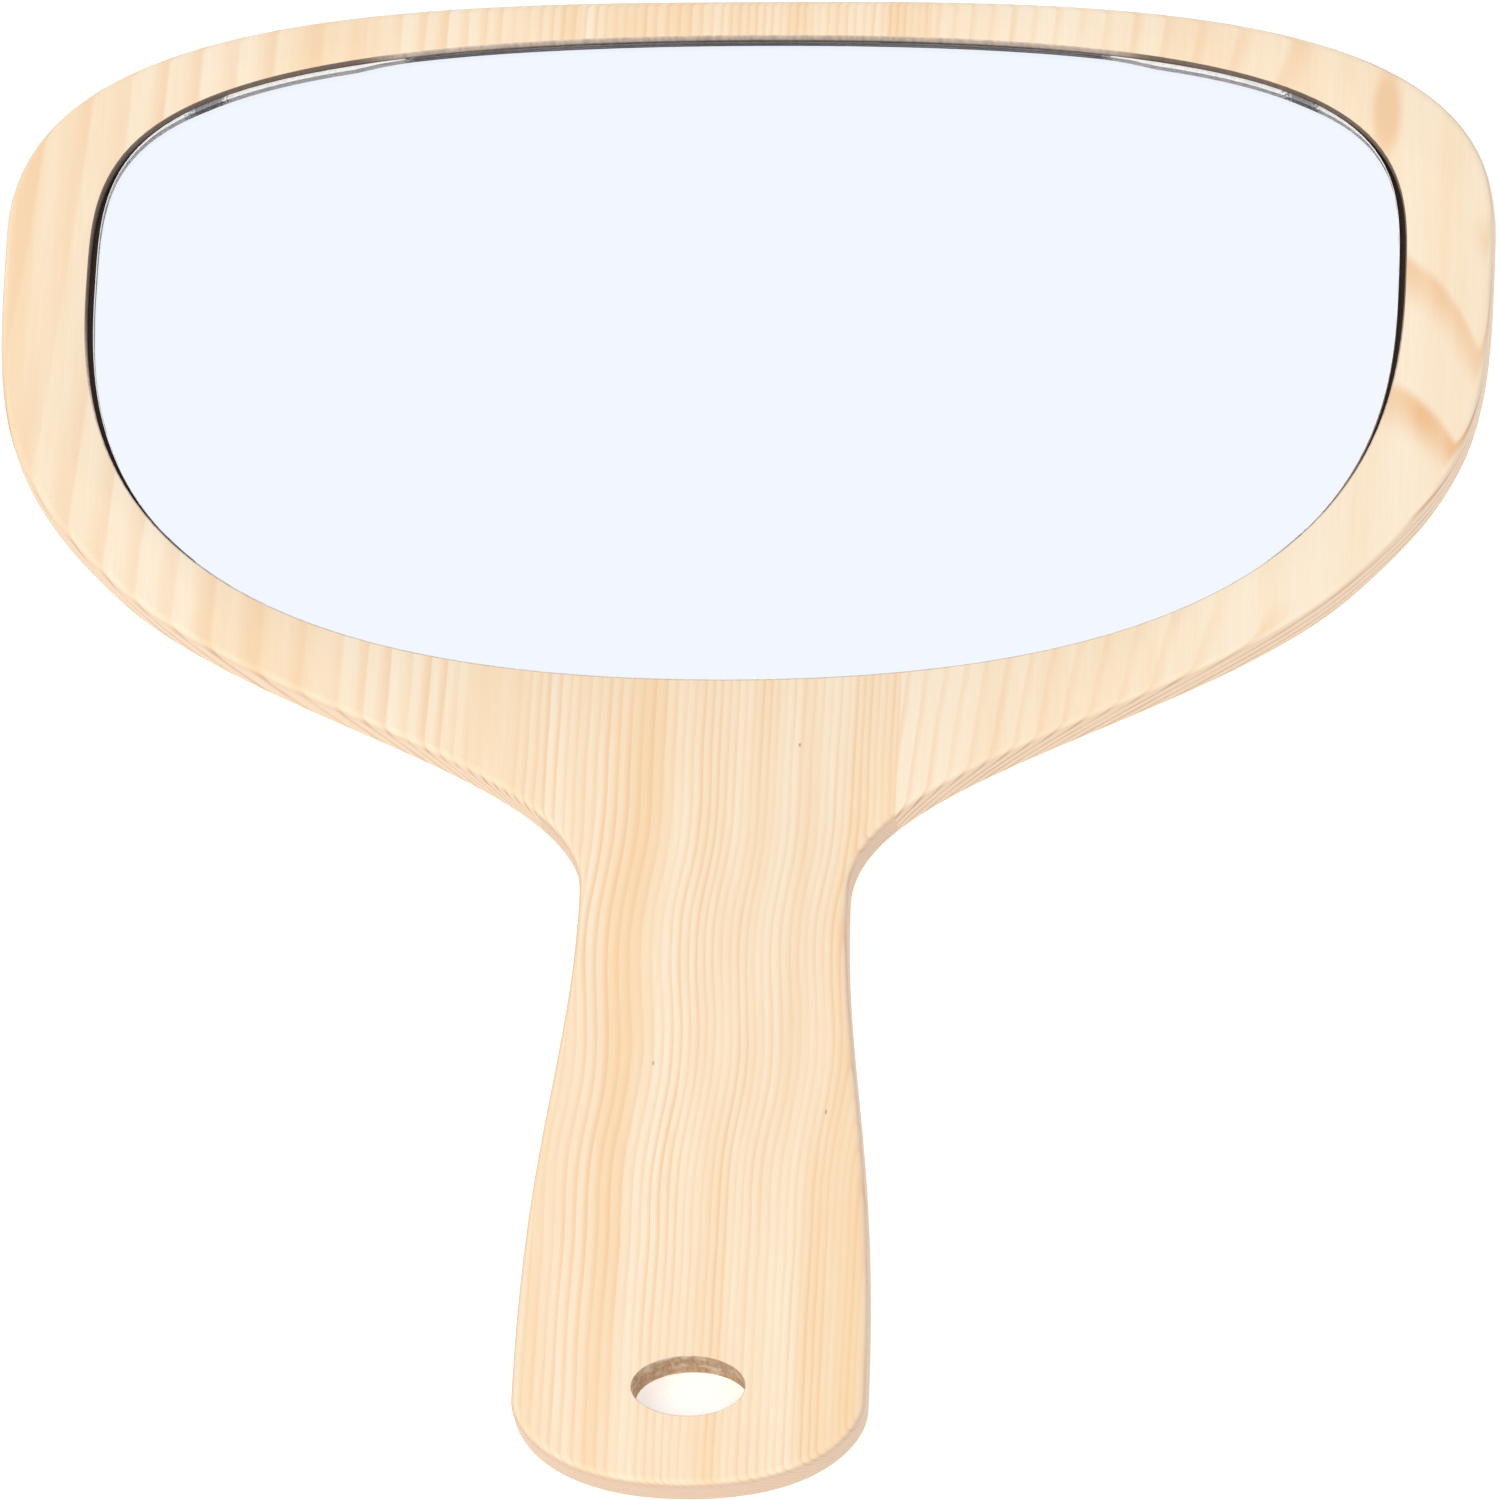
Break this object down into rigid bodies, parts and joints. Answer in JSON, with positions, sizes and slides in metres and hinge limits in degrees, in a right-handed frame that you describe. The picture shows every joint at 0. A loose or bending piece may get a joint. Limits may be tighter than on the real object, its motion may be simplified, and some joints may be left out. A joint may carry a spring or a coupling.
{
  "type": "hand mirror",
  "caption": "One-sided hand mirror: a wooden paddle glued from boards, with a wide rounded head, a mirror in a routed pocket and a handle with an oval hanging hole.",
  "frame": {"origin": "middle of the board's length and width, on the plane of its back face", "axes": "+Z out of the mirror's face, +Y from the handle to the head, +X to the right of someone looking at the face with the handle down"},
  "size_m": [0.25, 0.269, 0.007],
  "materials": {
    "pine": "pale pine, sanded smooth, clear matt finish",
    "glass": "clear float glass, ground edge",
    "silver": "mirror silver, chipped in places along its edge",
    "backing_paint": "matt grey mirror-back paint",
    "foam_tape": "white closed-cell foam tape"
  },
  "bodies": {
    "root": {"left_board": "pine", "centre_board": "pine", "right_board": "pine", "mirror_glass": "glass", "silver_layer": "silver", "backing_paint": "backing_paint", "tape_strip_upper_left": "foam_tape", "tape_strip_upper_right": "foam_tape", "tape_strip_centre": "foam_tape", "tape_strip_lower": "foam_tape"}
  },
  "joints": []
}
